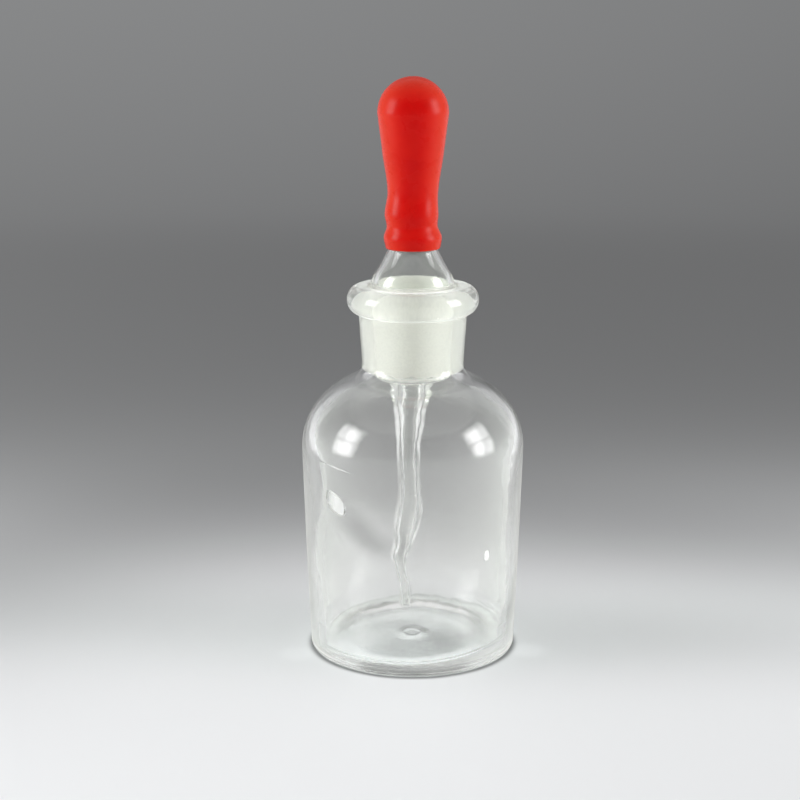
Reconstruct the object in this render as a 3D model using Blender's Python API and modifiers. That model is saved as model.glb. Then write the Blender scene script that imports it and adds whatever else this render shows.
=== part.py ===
"""Glass dropping bottle of about 60 ml: a moulded bottle, a pipette ground into its neck, and a rubber teat.

Run it with blender --background --python part.py, or from Blender's text editor.
Metres, +Z up. The origin is the centre of the bottle's foot, on the surface that it stands on.
All three pieces are turned about the Z axis. The pipette's drawn tube then wanders a little to one side.
"""

import math

import bpy
import numpy as np

MM = 0.001

# Bottle, outside
BODY_RADIUS = 22.9 * MM  # where the body is widest, just under the shoulder
BODY_DRAFT = 1.5 * MM  # the body is narrower by this at its foot
BODY_BOW = 0.15 * MM  # and its side bows out by this half way up
SIDE_HEIGHT = 43.0 * MM  # from the foot to the start of the shoulder
HEEL_ROUNDING = 1.1 * MM
SHOULDER_RISE = 16.4 * MM  # upright half-axis of the shoulder's elliptical dome
SHOULDER_OFFSET = 4.0 * MM  # distance from the Z axis to the centre of that ellipse
NECK_ROOT_RADIUS = 10.4 * MM
NECK_DRAFT = 0.6 * MM  # the neck is wider by this under its flange
NECK_LENGTH = 12.1 * MM  # from the shoulder to the flange
NECK_FILLET = 2.4 * MM
FLANGE_OVERHANG = 2.45 * MM
FLANGE_THICKNESS = 5.7 * MM
MOUTH_ROUNDING = 0.9 * MM

# Bottle, inside and underneath
WALL = 2.5 * MM
WALL_GAIN = 0.5 * MM  # the wall is thicker by this at its foot
FLOOR_THICKNESS = 2.9 * MM
FLOOR_CROWN = 0.2 * MM  # the floor stands this much higher in its middle
FLOOR_ROUNDING = 0.9 * MM
FOOT_RING_WIDTH = 4.2 * MM
FOOT_RING_SLOPE = 3.4 * MM  # width over which the underside rises from the ring
PUSH_UP = 0.4 * MM  # rise of the underside inside its ring
MARK_RADIUS = 1.9 * MM  # round mould mark in the middle of the underside
MARK_WIDTH = 0.5 * MM
MARK_DEPTH = 0.12 * MM

# Ground joint, a cone shared by the neck's bore and the stopper
NECK_WALL = 2.8 * MM  # glass between the bore and the neck's root
GROUND_TAPER = 0.1  # 1 in 10 on diameter
BORE_LIP_FILLET = 3.6 * MM  # where the bore opens into the shoulder
STOPPER_DROP = 0.9 * MM  # the ground zone ends this much under the neck's root
SEAT_GAP = 0.3 * MM
STOPPER_PROUD = 0.6 * MM  # ground zone that shows above the flange

# Pipette
STOPPER_WALL = 1.5 * MM
CONE_HEIGHT = 6.9 * MM  # clear glass from the ground zone up to the teat's edge
CONE_TOP_RADIUS = 5.0 * MM
CONE_WALL = 1.2 * MM
CONE_FLARE = 0.2 * MM  # the cone curves in by this half way up
CONE_ROUNDING = 0.8 * MM  # height of the curve between the ground zone and the cone
NOZZLE_RADIUS = 3.85 * MM
NOZZLE_WALL = 0.85 * MM
NOZZLE_HEIGHT = 8.0 * MM  # glass inside the teat, above its edge
NOZZLE_NECKING = 3.4 * MM  # height over which the cone draws in to the nozzle
BEAD_PROUD = 0.25 * MM  # fire-polished bead that holds the teat
BEAD_HEIGHT = 1.8 * MM
FUNNEL_RADIUS = 4.6 * MM  # where the drawn tube leaves the stopper's rounded foot
FUNNEL_DROP = 3.2 * MM  # height of that foot
FUNNEL_LENGTH = 15.0 * MM
TUBE_RADIUS = 2.45 * MM
TUBE_WALL = 0.85 * MM
BULGE_RADIUS = 2.8 * MM  # the tube swells above its jet
BULGE_HEIGHT = 17.0 * MM  # above the tip
JET_RADIUS = 1.2 * MM
JET_LENGTH = 9.0 * MM
JET_BORE_RADIUS = 0.55 * MM
TIP_ROUNDING = 0.3 * MM
TIP_CLEARANCE = 5.0 * MM  # tip above the bottle's floor

# Wander of the drawn tube, along X
WANDER_FUNNEL = -0.2 * MM
WANDER_TUBE = -0.85 * MM
WANDER_BULGE = -1.2 * MM
WANDER_JET = -2.7 * MM
WANDER_TIP = -1.5 * MM

# Teat
TEAT_GAP = 0.3 * MM
TEAT_HEIGHT = 34.3 * MM
TEAT_WALL = 1.35 * MM
TEAT_EDGE_WALL = 0.35 * MM
TEAT_RIM_WALL = 1.45 * MM  # rolled rim
TEAT_RIM_HEIGHT = 2.4 * MM  # middle of the rim above the teat's edge
TEAT_WAIST_WALL = 0.75 * MM
TEAT_CLIP_WALL = 1.0 * MM  # where the rubber stretches over the nozzle's bead
TEAT_NECK_RADIUS = 5.08 * MM
TEAT_NECK_HEIGHT = 10.8 * MM  # narrowest place above the teat's edge
TEAT_BULB_RADIUS = 7.15 * MM
TEAT_CROWN_HEIGHT = 7.2 * MM  # from the widest place up to the top

# Fineness
BOTTLE_STEPS = 48
PIPETTE_STEPS = 28
TEAT_STEPS = 28


def ellipse_arc(centre, across, up, start, end, steps):
    """Points of an elliptical arc from start to end degrees, as (radius, height)."""
    angles = [math.radians(start + (end - start) * i / steps) for i in range(steps + 1)]
    return [(centre[0] + across * math.cos(a), centre[1] + up * math.sin(a)) for a in angles]


def fillet(first, corner, last, steps):
    """Points of a quadratic curve from first to last, along the lines to corner at both ends."""
    found = []
    for i in range(steps + 1):
        t = i / steps
        shares = ((1 - t) ** 2, 2 * t * (1 - t), t * t)
        found.append(tuple(sum(s * p[k] for s, p in zip(shares, (first, corner, last))) for k in (0, 1)))
    return found


def ogee(first, last, steps):
    """Points of an S-shaped line from first to last, upright at both ends."""
    middle = ((first[0] + last[0]) / 2, (first[1] + last[1]) / 2)
    lean = (first[1] - last[1]) * 0.1
    start = fillet(first, (first[0], middle[1] + lean), middle, steps)
    return start[:-1] + fillet(middle, (last[0], middle[1] - lean), last, steps)


def smooth(stations, steps):
    """Points of a curve through the stations, whose slope at each one is that between its neighbours."""
    place, height = np.array(stations).T
    slope = np.gradient(place, height)
    found = []
    for i, rise in enumerate(np.diff(height)):
        for t in np.arange(steps) / steps:
            start = (1 + 2 * t) * (1 - t) ** 2 * place[i] + t * (1 - t) ** 2 * rise * slope[i]
            end = t * t * (3 - 2 * t) * place[i + 1] - t * t * (1 - t) * rise * slope[i + 1]
            found.append((float(start + end), float(height[i] + t * rise)))
    return found + [tuple(stations[-1])]


def dome_point(radius, inset):
    """Height of the shoulder's dome at a radius, and its angle in degrees, for a surface inset from it."""
    share = (radius - SHOULDER_OFFSET) / (BODY_RADIUS - inset - SHOULDER_OFFSET)
    angle = math.acos(share)
    return SIDE_HEIGHT + (SHOULDER_RISE - inset) * math.sin(angle), math.degrees(angle)


def dome_tangent(radius, inset, reach):
    """Height at which the line that touches the dome at a radius comes to another radius."""
    height, angle = dome_point(radius, inset)
    across = BODY_RADIUS - inset - SHOULDER_OFFSET
    slope = -(SHOULDER_RISE - inset) / across / math.tan(math.radians(angle))
    return height + slope * (reach - radius)


def dome_arc(inset, start, end, steps):
    """The dome between two angles."""
    across = BODY_RADIUS - inset - SHOULDER_OFFSET
    return ellipse_arc((SHOULDER_OFFSET, SIDE_HEIGHT), across, SHOULDER_RISE - inset, start, end, steps)


# Radii and heights that follow from the sizes above
FOOT_RADIUS = BODY_RADIUS - BODY_DRAFT
FILLET_RADIUS = NECK_ROOT_RADIUS + NECK_FILLET
NECK_ROOT = dome_tangent(FILLET_RADIUS, 0, NECK_ROOT_RADIUS)
FLANGE_FOOT = NECK_ROOT + NECK_LENGTH
MOUTH = FLANGE_FOOT + FLANGE_THICKNESS
BORE_ROOT_RADIUS = NECK_ROOT_RADIUS - NECK_WALL
BORE_LIP_RADIUS = BORE_ROOT_RADIUS + BORE_LIP_FILLET
BORE_FOOT = dome_tangent(BORE_LIP_RADIUS, WALL, BORE_ROOT_RADIUS) + BORE_LIP_FILLET
GROUND_FOOT = NECK_ROOT - STOPPER_DROP
GROUND_TOP = MOUTH + STOPPER_PROUD
FUNNEL_TOP = GROUND_FOOT - FUNNEL_DROP
TUBE_TOP = FUNNEL_TOP - FUNNEL_LENGTH
FLOOR = FLOOR_THICKNESS + FLOOR_CROWN
TIP = FLOOR + TIP_CLEARANCE
BULGE = TIP + BULGE_HEIGHT
JET_TOP = TIP + JET_LENGTH
TEAT_EDGE = GROUND_TOP + CONE_HEIGHT
TEAT_RIM = TEAT_EDGE + TEAT_RIM_HEIGHT
TEAT_NECK = TEAT_EDGE + TEAT_NECK_HEIGHT
TEAT_TOP = TEAT_EDGE + TEAT_HEIGHT
TEAT_BULB = TEAT_TOP - TEAT_CROWN_HEIGHT
NOZZLE_TOP = TEAT_EDGE + NOZZLE_HEIGHT
BEAD = NOZZLE_TOP - BEAD_HEIGHT / 2


def bore_radius(height):
    """Radius of the neck's ground bore at a height."""
    return BORE_ROOT_RADIUS + (height - NECK_ROOT) * GROUND_TAPER / 2


def stopper_radius(height):
    """Radius of the stopper's ground zone at a height."""
    return bore_radius(height) - SEAT_GAP


def bottle_inside():
    """The inner surface, from the middle of the floor up to the mouth's rounding."""
    side = FOOT_RADIUS - WALL - WALL_GAIN
    edge = side - FLOOR_ROUNDING
    floor = [(0.0, FLOOR), (edge * 0.6, FLOOR - FLOOR_CROWN * 0.4)]
    corner = fillet((edge, FLOOR_THICKNESS), (side, FLOOR_THICKNESS), (side, FLOOR_THICKNESS + FLOOR_ROUNDING), 4)
    lip_height, lip_angle = dome_point(BORE_LIP_RADIUS, WALL)
    under_lip = (BORE_ROOT_RADIUS, dome_tangent(BORE_LIP_RADIUS, WALL, BORE_ROOT_RADIUS))
    opening = fillet((BORE_LIP_RADIUS, lip_height), under_lip, (bore_radius(BORE_FOOT), BORE_FOOT), 5)
    return floor + corner + dome_arc(WALL, 0, lip_angle, 8) + opening[1:]


def bottle_flange():
    """Over the mouth's rounding and the flat rim, and round the flange's full edge to the neck."""
    start = MOUTH - MOUTH_ROUNDING
    centre = (bore_radius(start) + MOUTH_ROUNDING, start)
    rounding = ellipse_arc(centre, MOUTH_ROUNDING, MOUTH_ROUNDING, 180, 90, 3)
    half = FLANGE_THICKNESS / 2
    neck = NECK_ROOT_RADIUS + NECK_DRAFT
    return rounding + ellipse_arc((neck, MOUTH - half), FLANGE_OVERHANG, half, 90, -75, 10) + [(neck, FLANGE_FOOT)]


def bottle_outside():
    """Down the neck, the shoulder and the body's side, and round the heel."""
    height, angle = dome_point(FILLET_RADIUS, 0)
    above = (NECK_ROOT_RADIUS, NECK_ROOT + NECK_FILLET * 0.8)
    root = fillet(above, (NECK_ROOT_RADIUS, NECK_ROOT), (FILLET_RADIUS, height), 4)
    middle = ((BODY_RADIUS + FOOT_RADIUS) / 2 + BODY_BOW, SIDE_HEIGHT / 2)
    top = (BODY_RADIUS - BODY_DRAFT * 0.07, SIDE_HEIGHT * 0.9)
    side = smooth([(BODY_RADIUS, SIDE_HEIGHT), top, middle, (FOOT_RADIUS, HEEL_ROUNDING)], 2)
    heel = ellipse_arc((FOOT_RADIUS - HEEL_ROUNDING, HEEL_ROUNDING), HEEL_ROUNDING, HEEL_ROUNDING, 0, -90, 3)
    return root + dome_arc(0, angle, 0, 10)[1:] + side[1:] + heel[1:]


def bottle_underside():
    """The standing ring, the push-up inside it and the round mould mark."""
    ring = FOOT_RADIUS - HEEL_ROUNDING - FOOT_RING_WIDTH
    rise = fillet((ring, 0.0), (ring - FOOT_RING_SLOPE / 2, PUSH_UP), (ring - FOOT_RING_SLOPE, PUSH_UP), 2)
    groove = [
        (MARK_RADIUS + MARK_WIDTH / 2, PUSH_UP),
        (MARK_RADIUS, PUSH_UP + MARK_DEPTH),
        (MARK_RADIUS - MARK_WIDTH / 2, PUSH_UP),
    ]
    return rise + groove + [(0.0, PUSH_UP)]


def cone_line(inset, nozzle_inset):
    """The clear cone and the nozzle above it, going up, for a surface inset from the outer one."""
    foot = stopper_radius(GROUND_TOP) - inset
    top = CONE_TOP_RADIUS - inset
    nozzle = NOZZLE_RADIUS - nozzle_inset
    rounded = foot - (foot - top) * CONE_ROUNDING / CONE_HEIGHT / 2
    return smooth([
        (foot, GROUND_TOP),
        (rounded, GROUND_TOP + CONE_ROUNDING),
        ((foot + top) / 2 - CONE_FLARE, GROUND_TOP + CONE_HEIGHT * 0.55),
        (top, TEAT_EDGE),
        (nozzle + (top - nozzle) * 0.25, TEAT_EDGE + NOZZLE_NECKING * 0.6),
        (nozzle, TEAT_EDGE + NOZZLE_NECKING),
    ], 2)


def nozzle_bead():
    """The nozzle's rounded top, from its bore over to the outer side under the bead."""
    across = NOZZLE_WALL / 2 + BEAD_PROUD
    return ellipse_arc((NOZZLE_RADIUS - NOZZLE_WALL / 2, BEAD), across, BEAD_HEIGHT / 2, 120, -50, 6)


def tube_stations():
    """The drawn tube from the stopper's foot down to the tip's rounding, as (outer radius, height)."""
    return [
        (FUNNEL_RADIUS, FUNNEL_TOP),
        (FUNNEL_RADIUS * 0.6 + TUBE_RADIUS * 0.4, FUNNEL_TOP - FUNNEL_LENGTH * 0.3),
        (FUNNEL_RADIUS * 0.25 + TUBE_RADIUS * 0.75, FUNNEL_TOP - FUNNEL_LENGTH * 0.6),
        (TUBE_RADIUS, TUBE_TOP),
        (TUBE_RADIUS, (TUBE_TOP + BULGE) / 2),
        (BULGE_RADIUS, BULGE),
        (BULGE_RADIUS * 0.6 + JET_RADIUS * 0.4, (BULGE + JET_TOP) / 2),
        (JET_RADIUS, JET_TOP),
        (JET_RADIUS, TIP + TIP_ROUNDING),
    ]


def pipette_section():
    """The pipette's closed outline, down its outer side and back up its bore."""
    stations = tube_stations()
    bore = [(max(radius - TUBE_WALL, JET_BORE_RADIUS), height) for radius, height in stations]
    foot = (stopper_radius(GROUND_FOOT), GROUND_FOOT)
    inner_foot = (foot[0] - STOPPER_WALL, foot[1] + STOPPER_WALL)
    inner_start = (bore[0][0], bore[0][1] + TUBE_WALL)
    outside = cone_line(0.0, 0.0)[::-1] + ogee(foot, stations[0], 4)[:-1] + smooth(stations, 3)
    tip = [(JET_RADIUS - TIP_ROUNDING, TIP), (JET_BORE_RADIUS, TIP)]
    inside = smooth(bore[::-1], 2) + ogee(inner_start, inner_foot, 3) + cone_line(CONE_WALL, NOZZLE_WALL)
    return nozzle_bead() + outside + tip + inside


def wander(height):
    """Sideways place of the pipette's centre line at a height: none in the stopper, most at the jet's root."""
    stations = [
        (0.0, GROUND_FOOT),
        (WANDER_FUNNEL, FUNNEL_TOP - FUNNEL_LENGTH / 4),
        (WANDER_TUBE, TUBE_TOP),
        (WANDER_TUBE, (TUBE_TOP * 2 + BULGE) / 3),
        (WANDER_BULGE, BULGE),
        (WANDER_JET, TIP + JET_LENGTH * 1.2),
        (WANDER_TIP, TIP),
    ]
    sideways, heights = np.array(smooth(stations, 6)[::-1]).T
    return float(np.interp(height, heights, sideways))


def teat_bore():
    """The teat's fit over the cone and the nozzle, going up, wide enough to slip off past the bead."""
    clear = NOZZLE_RADIUS + BEAD_PROUD + TEAT_GAP
    line = [point for point in cone_line(-TEAT_GAP, -TEAT_GAP) if point[1] >= TEAT_EDGE]
    radii, heights = np.array(line[::-1]).T
    crossing = float(np.interp(clear, radii, heights))
    return [point for point in line if point[0] > clear] + [(clear, crossing), (clear, NOZZLE_TOP + TEAT_GAP)]


def teat_section():
    """The teat's outline, down its outside from the crown and back up its hollow."""
    bore = teat_bore()
    edge, clear = bore[0][0], bore[-1][0]
    clip = NOZZLE_TOP - BEAD_HEIGHT * 0.8
    flank = ((TEAT_BULB_RADIUS + TEAT_NECK_RADIUS) / 2, (TEAT_BULB + TEAT_NECK) / 2)
    crown = ellipse_arc((0.0, TEAT_BULB), TEAT_BULB_RADIUS, TEAT_CROWN_HEIGHT, 90, 0, 8)
    outside = smooth([
        (TEAT_BULB_RADIUS, TEAT_BULB),
        flank,
        (TEAT_NECK_RADIUS, TEAT_NECK),
        (clear + TEAT_CLIP_WALL, clip),
        (clear + TEAT_WAIST_WALL, (clip + TEAT_RIM) / 2),
        (clear + TEAT_RIM_WALL, TEAT_RIM),
        (edge + TEAT_EDGE_WALL, TEAT_EDGE),
    ], 3)
    hollow = [
        (TEAT_NECK_RADIUS - TEAT_WALL, NOZZLE_TOP + TEAT_GAP * 3),
        (TEAT_NECK_RADIUS - TEAT_WALL, TEAT_NECK),
        (flank[0] - TEAT_WALL, flank[1]),
    ]
    inner_crown = ellipse_arc((0.0, TEAT_BULB), TEAT_BULB_RADIUS - TEAT_WALL, TEAT_CROWN_HEIGHT - TEAT_WALL, 0, 90, 6)
    return crown + outside[1:] + bore + hollow + inner_crown


def turned(name, section, base, steps, finish, closed=False):
    """A piece turned about Z from its section, a list of (radius, height), with its origin at a base height."""
    mesh = bpy.data.meshes.new(name)
    edges = [(i, i + 1) for i in range(len(section) - 1)]
    if closed:
        edges.append((len(section) - 1, 0))
    mesh.from_pydata([(radius, 0.0, height - base) for radius, height in section], edges, [])
    mesh.materials.append(finish)
    piece = bpy.data.objects.new(name, mesh)
    piece.location.z = base
    screw = piece.modifiers.new("Turn", "SCREW")
    screw.axis = "Z"
    screw.steps = steps
    screw.render_steps = steps
    screw.use_merge_vertices = True
    screw.merge_threshold = 0.00001
    screw.use_smooth_shade = True
    bpy.data.collections["dropping_bottle"].objects.link(piece)
    return piece


def bend_tube(piece):
    """Makes the turned pipette a plain mesh and moves each ring of its tube sideways."""
    bpy.context.view_layer.update()
    turned_piece = piece.evaluated_get(bpy.context.evaluated_depsgraph_get())
    mesh = bpy.data.meshes.new_from_object(turned_piece)
    for vertex in mesh.vertices:
        vertex.co.x += wander(vertex.co.z + piece.location.z)
    piece.modifiers.clear()
    piece.data = mesh


def material(name, colour, roughness, transmission, ior):
    """A Principled BSDF of one colour."""
    made = bpy.data.materials.new(name)
    made.use_nodes = True
    shader = made.node_tree.nodes["Principled BSDF"]
    shader.inputs["Base Color"].default_value = (*colour, 1.0)
    shader.inputs["Roughness"].default_value = roughness
    shader.inputs["Metallic"].default_value = 0.0
    shader.inputs["Transmission Weight"].default_value = transmission
    shader.inputs["IOR"].default_value = ior
    return made


def bottle():
    """The moulded bottle."""
    section = bottle_inside() + bottle_flange() + bottle_outside() + bottle_underside()
    glass = material("soda_lime_glass", (0.94, 0.98, 0.96), 0.02, 1.0, 1.52)
    return turned("bottle", section, 0.0, BOTTLE_STEPS, glass)


def pipette():
    """The stopper, its clear cone and nozzle, and the tube drawn out below, all in one piece of glass."""
    glass = material("drawn_glass", (0.97, 0.98, 0.97), 0.04, 1.0, 1.5)
    made = turned("pipette", pipette_section(), MOUTH, PIPETTE_STEPS, glass, closed=True)
    bend_tube(made)
    return made


def teat(carrier):
    """The rubber teat, on the pipette's nozzle."""
    rubber = material("red_rubber", (0.62, 0.02, 0.01), 0.38, 0.0, 1.52)
    made = turned("teat", teat_section(), TEAT_EDGE, TEAT_STEPS, rubber)
    made.parent = carrier
    made.location.z = TEAT_EDGE - carrier.location.z
    return made


def main():
    for left in list(bpy.data.objects):
        bpy.data.objects.remove(left, do_unlink=True)
    parts = bpy.data.collections.new("dropping_bottle")
    bpy.context.scene.collection.children.link(parts)
    bottle()
    teat(pipette())


main()
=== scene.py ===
import math

import bpy
import numpy as np
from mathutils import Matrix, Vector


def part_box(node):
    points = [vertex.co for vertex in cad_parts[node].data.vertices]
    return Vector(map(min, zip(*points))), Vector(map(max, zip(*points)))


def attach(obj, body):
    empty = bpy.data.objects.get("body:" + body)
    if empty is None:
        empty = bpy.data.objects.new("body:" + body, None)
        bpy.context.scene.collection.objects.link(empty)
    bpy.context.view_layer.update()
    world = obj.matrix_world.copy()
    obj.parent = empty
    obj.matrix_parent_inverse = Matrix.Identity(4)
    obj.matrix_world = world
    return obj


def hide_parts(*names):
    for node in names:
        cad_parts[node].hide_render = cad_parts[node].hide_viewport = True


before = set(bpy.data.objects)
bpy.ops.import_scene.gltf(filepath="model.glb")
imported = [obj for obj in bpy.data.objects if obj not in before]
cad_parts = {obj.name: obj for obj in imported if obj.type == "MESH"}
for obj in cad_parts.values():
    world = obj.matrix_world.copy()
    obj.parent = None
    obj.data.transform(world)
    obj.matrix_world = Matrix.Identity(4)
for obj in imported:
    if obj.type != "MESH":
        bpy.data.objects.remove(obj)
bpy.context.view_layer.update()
print("frame loaded")

mm = 0.001

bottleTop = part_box("bottle")[1]
pipetteLow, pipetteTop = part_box("pipette")
teatLow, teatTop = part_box("teat")


# an outline is an array of (radius, height) rows, in metres

# points of an ellipse: centre + (across * cos a, up * sin a), a from start to end degrees
def arcLine(centre, across, up, start, end, count):
    a = np.radians(np.linspace(start, end, count))
    return np.column_stack((centre[0] + across * np.cos(a), centre[1] + up * np.sin(a)))


# quadratic curve: (1-t)^2 first + 2t(1-t) corner + t^2 last
def bendLine(first, corner, last, count):
    t = np.linspace(0, 1, count)[:, None]
    return (1 - t) ** 2 * np.array(first) + 2 * t * (1 - t) * np.array(corner) + t * t * np.array(last)


# two quadratic curves that meet half way, so that the line leaves and arrives upright
def ogeeLine(first, last, count):
    middle = ((first[0] + last[0]) / 2, (first[1] + last[1]) / 2)
    lean = (first[1] - last[1]) * 0.1
    upper = bendLine(first, (first[0], middle[1] + lean), middle, count)
    return np.vstack((upper[:-1], bendLine(middle, (last[0], middle[1] - lean), last, count)))


# cubic through the stations, as radius over height, with the slope at each from its neighbours
def flowLine(stations, count):
    place, height = np.array(stations, float).T
    slope = np.gradient(place, height)
    i = np.repeat(np.arange(len(place) - 1), count)
    t = np.tile(np.arange(count) / count, len(place) - 1)
    rise = height[i + 1] - height[i]
    radius = ((1 + 2 * t) * (1 - t) ** 2 * place[i] + t * (1 - t) ** 2 * rise * slope[i]
              + t * t * (3 - 2 * t) * place[i + 1] - t * t * (1 - t) * rise * slope[i + 1])
    line = np.column_stack((radius, height[i] + t * rise))
    return np.vstack((line, [[place[-1], height[-1]]]))


# straight line cut into equal steps
def straightLine(first, last, count):
    t = np.linspace(0, 1, count)[:, None]
    return (1 - t) * np.array(first) + t * np.array(last)


# joins outlines end to end and drops the points that repeat
def joinLines(*lines):
    line = np.vstack(lines)
    gap = np.linalg.norm(np.diff(line, axis=0), axis=1)
    return line[np.concatenate(([True], gap > 1e-7))]


def placeObject(name, data):
    thing = bpy.data.objects.new(name, data)
    bpy.context.scene.collection.objects.link(thing)
    return thing


# corners of the faces between neighbouring rows of a grid whose columns close on themselves
def gridFaces(rows):
    a, b = rows[:-1], rows[1:]
    return np.dstack((a, b, np.roll(b, -1, 1), np.roll(a, -1, 1))).reshape(-1, 4)


# turns an outline round Z on a grid of (outline point, angle): x = r cos a, y = r sin a
# shift(radius, height, angle) gives new radius, x offset and height for the whole grid at once
# an outline end on the axis becomes one point, so that the pole is closed
def turnedPiece(name, line, segments, shift=None, closed=False):
    count = len(line)
    angle = np.linspace(0, 2 * np.pi, segments, endpoint=False)
    radius = np.repeat(line[:, :1], segments, 1)
    height = np.repeat(line[:, 1:], segments, 1)
    angles = np.repeat(angle[None, :], count, 0)
    along = np.zeros_like(radius)
    if shift:
        radius, along, height = shift(radius, height, angles)
    grid = np.dstack((radius * np.cos(angles) + along, radius * np.sin(angles), height))
    index = np.arange(count * segments).reshape(count, segments)
    if not closed:
        for row in (0, -1):
            grid[row] = grid[row].mean(0)
            index[row] = index[row, 0]
    rows = index if not closed else np.vstack((index, index[:1]))
    faces = [list(dict.fromkeys(corners)) for corners in gridFaces(rows).tolist()]
    used, place = np.unique(np.concatenate([np.array(f) for f in faces]), return_inverse=True)
    starts = np.cumsum([0] + [len(f) for f in faces])
    faces = [place[s:e].tolist() for s, e in zip(starts[:-1], starts[1:])]
    mesh = bpy.data.meshes.new(name)
    mesh.from_pydata(grid.reshape(-1, 3)[used].tolist(), [], faces)
    mesh.update()
    mesh.shade_smooth()
    return placeObject(name, mesh)


# radius and height of each vertex, or of each face's middle
def placesOf(parts, label):
    places = np.empty(len(parts) * 3, np.float32)
    parts.foreach_get(label, places)
    places = places.reshape(-1, 3)
    return np.hypot(places[:, 0], places[:, 1]), places[:, 2]


# writes one value for each vertex into a named attribute
def writeValue(mesh, name, value):
    mesh.attributes.new(name, "FLOAT", "POINT").data.foreach_set("value", value.astype(np.float32))


# gives the faces whose middle meets the rule another of the piece's materials
def useFinish(piece, number, rule):
    mesh = piece.data
    index = np.empty(len(mesh.polygons), np.int32)
    mesh.polygons.foreach_get("material_index", index)
    chosen = rule(*placesOf(mesh.polygons, "center"))
    mesh.polygons.foreach_set("material_index", np.where(chosen, number, index).astype(np.int32))


# 0 below low, 1 above high, eased between
def easeStep(value, low, high):
    t = np.clip((value - low) / (high - low), 0, 1)
    return t * t * (3 - 2 * t)


bottleShape = {
    "bodyRadius": 22.9 * mm,
    "bodyDraft": 1.5 * mm,
    "bodyBow": 0.15 * mm,
    "sideEase": 9,  # how soon the side takes its slope under the shoulder
    "sideTuck": 0.12 * mm,
    "sideHeight": 43.0 * mm,
    "heelRounding": 1.1 * mm,
    "shoulderRise": 16.4 * mm,
    "shoulderOffset": 4.0 * mm,
    "neckRootRadius": 10.4 * mm,
    "neckDraft": 0.6 * mm,
    "neckFillet": 2.4 * mm,
    "flangeOverhang": 2.45 * mm,
    "flangeThickness": 5.7 * mm,
    "flangeTuck": (0.1 * mm, 0.5 * mm),  # the corner under the flange: how far out and how far down
    "mouthRounding": 0.9 * mm,
    "wall": 2.5 * mm,
    "wallGain": 0.5 * mm,  # how much thicker the wall is at its foot
    "neckWall": 2.8 * mm,
    "groundTaper": 0.05,  # radius gained for each unit of height
    "boreFillet": 3.6 * mm,
    "groundDrop": 0.9 * mm,  # the ground zone ends this much under the neck's root
    "grindFade": (-3 * mm, -1 * mm),  # heights over the bore's foot between which the grinding sets in
    "grindDepth": 1.4 * mm,  # how far outside the bore a point is still ground
    "groundStart": -2.4 * mm,  # height over the bore's foot from which faces have the ground finish
    "groundDepth": 0.9 * mm,
    "floorThickness": 2.9 * mm,
    "floorCrown": 0.2 * mm,
    "floorRounding": 0.7 * mm,
    "footRing": 4.2 * mm,
    "footSlope": 3.4 * mm,
    "pushUp": 0.4 * mm,
    "stippleReach": 19 * mm,
    "stippleTop": 7 * mm,
    "standingRing": (16 * mm, 1.5 * mm),  # clear from this radius outwards, up to this height
    "markRadius": 1.9 * mm,
    "markWidth": 0.5 * mm,
    "markDepth": 0.035 * mm,
    # waves of the inner wall, as blown glass has them: turns, pitch, start, depth
    "waves": [(2, 60, 0.7, 0.12 * mm), (3, -95, -2.1, 0.12 * mm), (5, 140, 1.3, 0.08 * mm),
              (9, -210, 0.4, 0.04 * mm), (4, 260, 0.9, 0.05 * mm)],
    "wavesAhead": 0.25,  # share of the waves in front and behind
    "wavesFade": (12 * mm, 50 * mm, 57 * mm),  # full above the first height, gone between the others
    # a tilted band that acts as a weak prism: direction in degrees, height, length, width, turn in degrees, slope
    "facets": [(-118, 29.0 * mm, 6.0 * mm, 3.6 * mm, -40, -0.22)],
    "spotDepth": 1.2 * mm,  # how far from its centre, through the wall, a spot reaches
    # two flat spots of the mould that lean back, and a scratch: centre, half width, half height, shear, lean
    "spots": [((-15.5 * mm, -16.5 * mm, 35.2 * mm), 2.5 * mm, 1.85 * mm, 0.35, 0.24),
              ((14.7 * mm, -16.6 * mm, 24.3 * mm), 0.7 * mm, 1.1 * mm, -0.2, 0.3),
              ((-15.9 * mm, -16.2 * mm, 42.65 * mm), 5.2 * mm, 0.1 * mm, 0.12, 0.22)],
    "floorTilt": 1.6 * mm,
    "floorLean": 0.75,
    "floorWarp": 0.12,
    "tiltFade": (4 * mm, 12 * mm),
    "segments": 176,
}


# height and angle of the shoulder's ellipse at a radius, for a surface inset from the outer one
def domeAt(s, radius, inset):
    angle = math.acos((radius - s["shoulderOffset"]) / (s["bodyRadius"] - inset - s["shoulderOffset"]))
    return s["sideHeight"] + (s["shoulderRise"] - inset) * math.sin(angle), math.degrees(angle)


# height where the line touching the dome at a radius reaches another radius
def domeTangent(s, radius, inset, reach):
    height, angle = domeAt(s, radius, inset)
    across = s["bodyRadius"] - inset - s["shoulderOffset"]
    slope = -(s["shoulderRise"] - inset) / across / math.tan(math.radians(angle))
    return height + slope * (reach - radius)


def domeLine(s, inset, start, end, count):
    across = s["bodyRadius"] - inset - s["shoulderOffset"]
    return arcLine((s["shoulderOffset"], s["sideHeight"]), across, s["shoulderRise"] - inset, start, end, count)


# the side below the shoulder, inset: it leaves the dome upright, eases in, then narrows evenly to the foot
def sideLine(s, inset, low, count):
    height = np.linspace(s["sideHeight"], low, count)
    drop = (s["sideHeight"] - height) / (s["sideHeight"] - s["heelRounding"])
    ease = 1 - np.exp(-drop * s["sideEase"])
    bow = s["bodyBow"] * np.sin(np.pi * drop)
    narrowing = ease * (s["bodyDraft"] * drop + s["sideTuck"] * (1 - drop))
    radius = s["bodyRadius"] - inset - narrowing + bow
    return np.column_stack((radius, height))


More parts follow.
